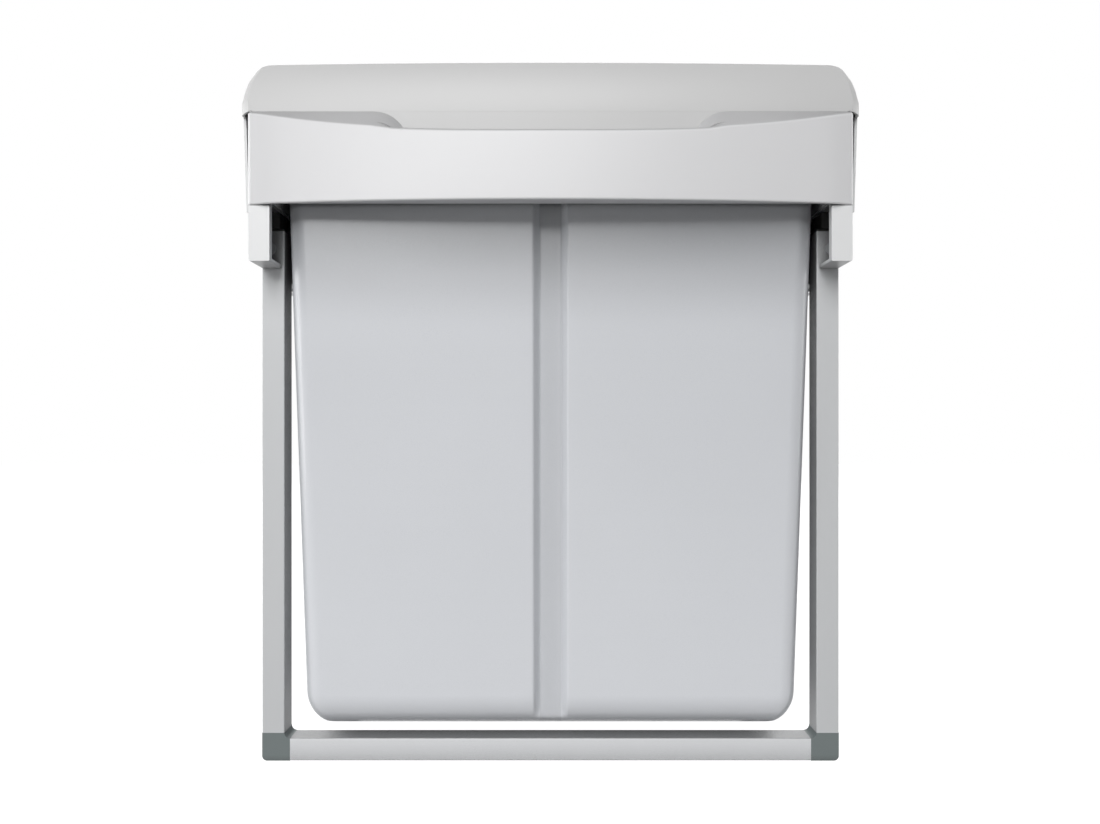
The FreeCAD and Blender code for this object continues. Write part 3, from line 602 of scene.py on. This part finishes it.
def bin_ring(z, wall, inset=0.0):
    drop = (BIN_TOP - z) * BIN_DRAFT + wall + inset
    front_drop = (BIN_TOP - z) * BIN_FRONT_DRAFT + wall + inset
    deep = GROOVE_DEPTH - inset
    if z > GROOVE_TOP - GROOVE_RUN_OUT:
        deep = GROOVE_DEPTH * (GROOVE_TOP - z) / GROOVE_RUN_OUT
    deep = max(0.0, min(GROOVE_DEPTH, deep))
    radius = max(BIN_CORNER - wall - inset, BIN_INNER_CORNER)
    return ring_points(BIN_HALF - drop, BIN_FRONT + front_drop, BIN_REAR - drop, radius, z,
                       bin_front_line(deep))


def bin_side(wall):
    """Rings from the foot up to under the rim."""
    rings = []
    radius = BIN_FOOT - wall
    for angle in spread(0.0, 90.0, FOOT_STEPS + 1):
        a = math.radians(angle)
        rings.append(bin_ring(BIN_BOTTOM + wall + radius * (1 - math.cos(a)), wall,
                              radius * (1 - math.sin(a))))
    return rings + [bin_ring(z, wall) for z in BODY_LEVELS + [RIM_Z - BELOW_RIM]]


def rim_ring(inset, z):
    return ring_points(RIM_HALF - inset, RIM_FRONT + inset, RIM_REAR - inset, BIN_CORNER - inset,
                       z, bin_front_line(0.0))


def mouth_ring():
    ease = BIN_WALL - MOUTH_EASE
    return ring_points(BIN_HALF - ease, BIN_FRONT + ease, BIN_REAR - ease, BIN_CORNER, BIN_TOP,
                       bin_front_line(0.0))


def make_bin(materials):
    rings = bin_side(0.0)
    rings += [bin_ring(RIM_Z, 0.0), rim_ring(RIM_UNDER_EASE, RIM_Z),
              rim_ring(0.0, RIM_Z + RIM_EASE), rim_ring(0.0, BIN_TOP - RIM_EASE),
              rim_ring(RIM_EASE, BIN_TOP), mouth_ring(), bin_ring(BIN_TOP - MOUTH_EASE, BIN_WALL)]
    rings += reversed(bin_side(BIN_WALL))
    parts = [loft(rings)]
    foot_y = EAR_BACK + EAR_FOOT
    ear = [(EAR_BACK, RIM_Z), (foot_y, RIM_Z), (foot_y, HINGE_Z - KNUCKLE_R)]
    ear += knuckle(-90.0, 90.0)
    ear += [(EAR_BACK + EAR_CHAMFER, KNUCKLE_TOP), (EAR_BACK, KNUCKLE_TOP - EAR_CHAMFER)]
    for x in (-HINGE_X, HINGE_X):
        parts.append(across(ear, x - EAR_HALF, x + EAR_HALF))
    piece = make_piece("bin_shell", parts, materials["bin_plastic"], "bin")
    soften_evenly(piece, BIN_EDGE, BIN_SHARP)
    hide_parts("bin")


# Lid: low dome with rounded ends, a front that leans back, a tongue behind the grip

LID_BOTTOM = 573.3
LID_TOP = 620.5
LID_HALF = 271.7
LID_FRONT = -213.0
LID_REAR = 200.0
LID_LEAN = 10.0
LID_LEAN_POWER = 1.8
LID_SIDE_DROP = 20.0
LID_REAR_DROP = 10.0
LID_END = ((0.0, 0.0), (0.25, 0.0), (0.33, 0.05), (0.41, 0.08), (0.49, 0.12), (0.57, 0.17),
           (0.65, 0.22), (0.73, 0.295), (0.81, 0.405), (0.88, 0.485), (0.94, 0.56),
           (0.965, 0.63), (0.985, 0.76), (1.0, 1.0))
LID_CORNER = 9.5
LID_CORNER_TOP = 6.5
LID_CORNER_DEPTH = 1.6
LID_CORNER_COUNT = 11
LID_CREASE = 36.0
LID_BACK_CORNER = 9.5
LID_BACK_CORNER_COUNT = 9
LID_SIDE_COUNT = 12
LID_FRONT_COUNT = 41
LID_REAR_COUNT = 31
LID_CROWN = 2.6
LID_WALL = 2.5
LID_EDGE = 0.7
LID_SHARP = 30.0
BESIDE_CREASE = 0.8
FRONT_MARGIN = 6.0
LID_LEVELS = spread(0.0, 0.78, 14) + [0.83, 0.88, 0.92, 0.95, 0.972, 0.988, 1.0]
TOP_SHRINKS = (0.97, 0.85, 0.6, 0.3, 0.05)
TONGUE_HALF = 238.0
TONGUE_DEPTH = 20.0
TONGUE_SET_BACK = 0.05


def between(table, x):
    for (x0, y0), (x1, y1) in zip(table, table[1:]):
        if x <= x1:
            return y0 + (y1 - y0) * (x - x0) / (x1 - x0)
    return table[-1][1]


def lid_outline(half, front, rear, wall, corner):
    """Plan of the lid: its front corners start with a crease, its rear corners are round."""
    width = corner - wall
    edge = half - width
    bend = width * math.tan(math.radians(LID_CREASE))
    depth = bend * LID_CORNER_DEPTH
    side = [(half - width * (1 - t) ** 2, front + 2 * bend * t * (1 - t) + depth * t * t)
            for t in spread(0.0, 1.0, LID_CORNER_COUNT)]
    back = LID_BACK_CORNER - wall
    side += [(half, y) for y in spread(side[-1][1], rear - back, LID_SIDE_COUNT)[1:]]
    side += arc(half - back, rear - back, back, 0.0, 90.0, LID_BACK_CORNER_COUNT)[1:]
    flat = spread(-edge + FRONT_MARGIN, edge - FRONT_MARGIN, LID_FRONT_COUNT)
    front_x = [-edge, -edge + BESIDE_CREASE] + flat + [edge - BESIDE_CREASE]
    points = [(x, front) for x in front_x] + side
    points += [(x, rear) for x in spread(half - back, -half + back, LID_REAR_COUNT)[1:-1]]
    points += [(-x, y) for x, y in reversed(side)][:-1]
    return points


def lid_ring(share, wall, shrink=1.0):
    height = LID_TOP - LID_BOTTOM - wall
    drop = between(LID_END, share)
    half = LID_HALF - LID_SIDE_DROP * drop - wall
    front = LID_FRONT + LID_LEAN * share ** LID_LEAN_POWER + wall
    rear = LID_REAR - LID_REAR_DROP * drop - wall
    middle = (front + rear) / 2
    corner = LID_CORNER + share * (LID_CORNER_TOP - LID_CORNER)
    made = []
    for x, y in lid_outline(half, front, rear, wall, corner):
        x *= shrink
        y = middle + (y - middle) * shrink
        fall = LID_CROWN * (x / LID_HALF) ** 2 * share
        made.append((x, y, LID_BOTTOM + height * share - fall))
    return made


def lid_shell(wall):
    rings = [lid_ring(share, wall) for share in LID_LEVELS]
    return rings + [lid_ring(1.0, wall, shrink) for shrink in TOP_SHRINKS]


def make_lid(materials):
    parts = [loft(list(reversed(lid_shell(LID_WALL))) + lid_shell(0.0))]
    parts.append(block(-TONGUE_HALF, TONGUE_HALF, LID_FRONT + TONGUE_SET_BACK,
                       LID_FRONT + LID_WALL, LID_BOTTOM - TONGUE_DEPTH, LID_BOTTOM + LID_WALL))
    in_wall = LID_REAR - LID_WALL / 2
    lug = knuckle(90.0, 270.0) + [(LUG_FOOT_Y, LID_BOTTOM), (in_wall, LID_BOTTOM),
                                  (in_wall, LUG_TOP_Z), (LUG_TOP_Y, KNUCKLE_TOP)]
    lug = [(y, max(z, LID_BOTTOM - LUG_BELOW_LID)) for y, z in lug]
    offset = EAR_HALF + LUG_GAP
    for hinge in (-HINGE_X, HINGE_X):
        for x in (hinge + offset, hinge - offset - LUG_WIDTH):
            parts.append(across(lug, x, x + LUG_WIDTH))
    piece = make_piece("lid_shell", parts, materials["lid_plastic"], "lid")
    soften_evenly(piece, LID_EDGE, LID_SHARP)
    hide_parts("lid")


# Grip fascia: bowed bar, sloping ledge behind it, hand scoop in the middle

FASCIA_HALF = 260.8
FASCIA_FRONT = -237.6
FASCIA_LOW = 489.8
FASCIA_TOP_END = 569.5
FASCIA_DIP = 20.5
DIP_POWER = 2.9
BOW_AT_SWEEP = 11.6
SWEEP_X = 238.0
SWEEP_R = 62.0
LEDGE_BACK_Y = -214.2
LEDGE_BACK_Z = 572.8
LEDGE_SHARES = (0.0, 0.12, 0.3, 0.5, 0.7, 0.88, 1.0)
LEDGE_END_ROOM = 0.6
RING_FRONT_Y = -209.5
RING_OVERLAP = 0.3
RETURN_BACK_Y = -203.0
RETURN_COUNT = 3
END_ROUND = 6.0
END_STEPS = 8
END_X = FASCIA_HALF - END_ROUND
END_SLOPE = 0.35
END_LIP = 0.8
END_LIP_RISE = 0.2
END_CLOSE = 0.4
END_CLOSE_RISE = 0.05
FRONT_COUNT = 12
FACE_SHARES = (0.15, 0.4, 0.65, 0.85)
LOW_ROUND = 1.6
LOW_ROUND_COUNT = 5
TOP_ROUND = 4.0
TOP_ROUND_COUNT = 7
TOP_ROUND_SHARE = 0.45
LEAST_ROOM = 3.0
UNDER_HALF = 239.0
UNDER_BACK_Z = 494.4
UNDER_END_DEPTH = 3.0
UNDER_END_RISE = 1.0
BAR = 5.0
BAR_SLOPE = 0.16
BAR_ROUND = 4.2
BAR_COUNT = 37
BAR_BACK_ROWS = 4
SCOOP_X = 143.0
SCOOP_ROLL = 30.0
SCOOP_LOW = 114.8
SCOOP_LEAN = 0.148
SCOOP_FLOOR_Z = 497.0
SCOOP_FLOOR_COUNT = 4
SCOOP_FLOOR_EDGE = 1.8
SCOOP_BACK_BELOW = 556.0
SCOOP_BACK_TOP = 552.0
ROLL_ANGLES = (0.0, 12.0, 23.5, 34.4, 46.0, 58.0, 70.0, 81.6)
WALL_SHARES = (0.25, 0.5, 0.75, 0.97)
ROLL_STEPS_ON_BAR = 3
SKIN = 2.2
FASCIA_WELD = 0.3
FASCIA_EDGE = 0.8
FASCIA_SHARP = 50.0
FACE_HALF = 50.0
FACE_DEPTH = 2.1
FACE_Z = (500.0, 540.0)


def bow(x):
    """The front of the fascia in plan: a flat bow whose last stretch sweeps back more."""
    swept = max(0.0, abs(x) - SWEEP_X)
    return FASCIA_FRONT + BOW_AT_SWEEP * (x / SWEEP_X) ** 2 + swept ** 2 / (2 * SWEEP_R)


def bar_top(x):
    share = min(abs(x), FASCIA_HALF) / FASCIA_HALF
    return FASCIA_TOP_END - FASCIA_DIP + FASCIA_DIP * share ** DIP_POWER


def ledge_z(x, y, front_y):
    share = (y - front_y) / (LEDGE_BACK_Y - front_y)
    return bar_top(x) + share * (LEDGE_BACK_Z - bar_top(x))


def scoop_profile(x, y):
    """(x, z) points from the ledge, over the rolled lip, down the wall to the pocket's floor."""
    top = ledge_z(x, y, bow(x))
    centre = SCOOP_LOW + SCOOP_LEAN * (top - SCOOP_ROLL - FASCIA_LOW)
    centre += SCOOP_ROLL * math.sqrt(1 + SCOOP_LEAN ** 2)
    made = []
    for angle in ROLL_ANGLES:
        a = math.radians(angle)
        made.append((centre - SCOOP_ROLL * math.sin(a), top - SCOOP_ROLL * (1 - math.cos(a))))
    last_x, last_z = made[-1]
    for share in WALL_SHARES:
        z = last_z + share * (SCOOP_FLOOR_Z - last_z)
        made.append((last_x - (last_z - z) * SCOOP_LEAN, z))
    made.append((made[-1][0] - SCOOP_FLOOR_EDGE, SCOOP_FLOOR_Z))
    return made


SCOOP_END = scoop_profile(SCOOP_X, bow(SCOOP_X) + BAR)
BAR_HALF, BAR_EDGE_Z = SCOOP_END[ROLL_STEPS_ON_BAR]
ROLL_X = [x for x, _ in SCOOP_END[:ROLL_STEPS_ON_BAR]]
LIP_X = ROLL_X[0]
LIP_Y = bow(LIP_X) + BAR


def side_columns():
    """(x, y, outward x, inward y) in plan, from the scoop's end round to the fascia's back."""
    front_x = list(reversed(ROLL_X)) + spread(LIP_X, END_X, FRONT_COUNT)[1:]
    columns = [(x, bow(x), 0.0, 1.0) for x in front_x]
    for angle in spread(0.0, 90.0, END_STEPS + 1)[1:]:
        out, back = math.sin(math.radians(angle)), math.cos(math.radians(angle))
        columns.append((END_X + END_ROUND * out, bow(END_X) + END_ROUND * (1 - back), out, back))
    returns = spread(bow(END_X) + END_ROUND, RETURN_BACK_Y, RETURN_COUNT)[1:]
    return columns + [(FASCIA_HALF, y, 1.0, 0.0) for y in returns]


BAR_X = spread(-BAR_HALF, BAR_HALF, BAR_COUNT)
SIDE = side_columns()
COLUMNS = [(-x, y, -out, back) for x, y, out, back in reversed(SIDE)]
COLUMNS += [(x, bow(x), 0.0, 1.0) for x in BAR_X]
COLUMNS += SIDE


def inwards(column, depth, z):
    x, y, out, back = column
    return (x - out * depth, y + back * depth, z)


def under_edge(column):
    """The back edge of the underside, which meets the ring except at the fascia's ends."""
    x, y = column[:2]
    if abs(x) < UNDER_HALF:
        return inwards(column, RING_FRONT_Y - y, UNDER_BACK_Z)
    return inwards(column, UNDER_END_DEPTH, FASCIA_LOW + UNDER_END_RISE)


def top_round(column):
    """(turn, radius, height where it starts) of the round edge between the face and the ledge."""
    x, y = column[:2]
    room = max(LEDGE_BACK_Y - y, LEAST_ROOM)
    slope = math.atan2(LEDGE_BACK_Z - bar_top(x), room) if room > LEAST_ROOM else END_SLOPE
    radius = min(TOP_ROUND, TOP_ROUND_SHARE * room)
    part = min(1.0, max(0.0, (abs(x) - BAR_HALF) / (LIP_X - BAR_HALF)))
    slope = BAR_SLOPE + (slope - BAR_SLOPE) * part
    radius = BAR_ROUND + (radius - BAR_ROUND) * part
    turn = math.pi / 2 - slope
    return turn, radius, bar_top(x) - radius * math.tan(turn / 2)


def bar_line(column, last):
    """Where the bar ends and the ledge or the scoop starts, behind the last point of the face."""
    x, y, out, back = column
    if y + BAR > LEDGE_BACK_Y - LEDGE_END_ROOM:
        return (last[0] - out * END_LIP, last[1] + back * END_LIP, last[2] + END_LIP_RISE)
    drop = 0.0
    if abs(x) < LIP_X:
        reach = min(LIP_X - abs(x), LIP_X - BAR_HALF)
        drop = SCOOP_ROLL - math.sqrt(SCOOP_ROLL ** 2 - reach ** 2)
    z = ledge_z(x, y + BAR, y)
    if abs(x) < BAR_HALF:
        z = ledge_z(BAR_HALF, bow(BAR_HALF) + BAR, bow(BAR_HALF)) + bar_top(x) - bar_top(BAR_HALF)
    return (x, y + BAR, z - drop)


def face_rows():
    """Under edge, low round, face and top round, from left to right."""
    rows = [[under_edge(c) for c in COLUMNS]]
    for y, z in arc(LOW_ROUND, LOW_ROUND, LOW_ROUND, 270.0, 180.0, LOW_ROUND_COUNT):
        rows.append([inwards(c, y, FASCIA_LOW + z) for c in COLUMNS])
    tops = [(c, *top_round(c)) for c in COLUMNS]
    low = FASCIA_LOW + LOW_ROUND
    for share in FACE_SHARES:
        rows.append([inwards(c, 0.0, low + share * (high - low)) for c, _, _, high in tops])
    for share in spread(0.0, 1.0, TOP_ROUND_COUNT):
        rows.append([inwards(c, radius * (1 - math.cos(turn * share)),
                             high + radius * math.sin(turn * share))
                     for c, turn, radius, high in tops])
    return rows


def ledge_row(mirror, share, edge):
    """Up the scoop's wall and lip, then outwards along the ledge, at a share of its depth."""
    lip_y = LIP_Y + share * (LEDGE_BACK_Y - LIP_Y)
    profile = scoop_profile(LIP_X, lip_y)
    row = [(mirror * x, lip_y, z) for x, z in reversed(profile)]
    inner_x = profile[0][0]
    for column, (x0, y0, z0) in edge:
        if column[1] + BAR > LEDGE_BACK_Y - LEDGE_END_ROOM:
            row.append((x0 - share * mirror * END_CLOSE, y0, z0 + share * END_CLOSE_RISE))
            continue
        reach = (abs(column[0]) - LIP_X) / (FASCIA_HALF - LIP_X)
        row.append((mirror * (inner_x + reach * (FASCIA_HALF - inner_x)),
                    y0 + share * (LEDGE_BACK_Y - y0), z0 + share * (LEDGE_BACK_Z - z0)))
    return row


def ledge_side(mirror, edge):
    """The ledge on one side, and the step from its back to the ring."""
    ledge = grid([ledge_row(mirror, share, edge) for share in LEDGE_SHARES])
    wall = [(mirror * x, LEDGE_BACK_Y, z) for x, z in reversed(scoop_profile(LIP_X, LEDGE_BACK_Y))]
    behind = [(x, RING_FRONT_Y + RING_OVERLAP, min(z, SCOOP_BACK_TOP))
              for x, _, z in wall if z < SCOOP_BACK_BELOW]
    return [ledge, grid([wall[:len(behind)], behind])]


def scoop_middle(tops):
    """The back face of the bar inside the scoop, and the pocket's floor."""
    back = []
    for i, (x, z) in enumerate(SCOOP_END[ROLL_STEPS_ON_BAR:]):
        fade = max(0.0, 1 - i / BAR_BACK_ROWS)
        row = []
        for bar_x, top in zip(BAR_X, tops):
            at = x * bar_x / BAR_HALF
            row.append((at, bow(at) + BAR, z + (top - BAR_EDGE_Z) * fade))
        back.append(row)
    floor = [[(x, y + share * (RING_FRONT_Y + RING_OVERLAP - y), SCOOP_FLOOR_Z)
              for x, y, _ in back[-1]] for share in spread(0.0, 1.0, SCOOP_FLOOR_COUNT)]
    return [grid(back), grid(floor)]


def on_face(point):
    """Whether the point is on the middle of the fascia's front face."""
    x, y, z = point / MM
    return abs(x) < FACE_HALF and y < FASCIA_FRONT + FACE_DEPTH and FACE_Z[0] < z < FACE_Z[1]


def join_sheets(work):
    """Joins the fascia's sheets and turns all faces outwards."""
    bmesh.ops.remove_doubles(work, verts=work.verts, dist=FASCIA_WELD * MM)
    bmesh.ops.recalc_face_normals(work, faces=work.faces)
    face = next(f for f in work.faces if on_face(f.calc_center_median()))
    if face.normal.y > 0:
        bmesh.ops.reverse_faces(work, faces=work.faces)


def make_fascia(materials):
    rows = face_rows()
    line = [bar_line(column, last) for column, last in zip(COLUMNS, rows[-1])]
    parts = [grid(rows + [line])]
    edge = list(zip(COLUMNS, line))
    count = len(SIDE) - ROLL_STEPS_ON_BAR
    parts += ledge_side(1, edge[-count:])
    parts += ledge_side(-1, edge[:count][::-1])
    parts += scoop_middle([z for _, _, z in line[len(SIDE):-len(SIDE)]])
    piece = make_piece("grip_fascia", parts, materials["fascia_plastic"], "carriage")
    rework(piece.data, join_sheets)
    thick = piece.modifiers.new("wall", "SOLIDIFY")
    thick.thickness = SKIN * MM
    thick.offset = -1.0
    soften_evenly(piece, FASCIA_EDGE, FASCIA_SHARP)
    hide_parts("fascia")


# Build

make_camera()
make_world()
for lamp in LAMPS:
    make_lamp(*lamp)
make_floor()
materials = make_materials()
dress_nodes(materials)
make_bin(materials)
make_lid(materials)
make_fascia(materials)

bpy.context.scene.view_settings.view_transform = "Standard"
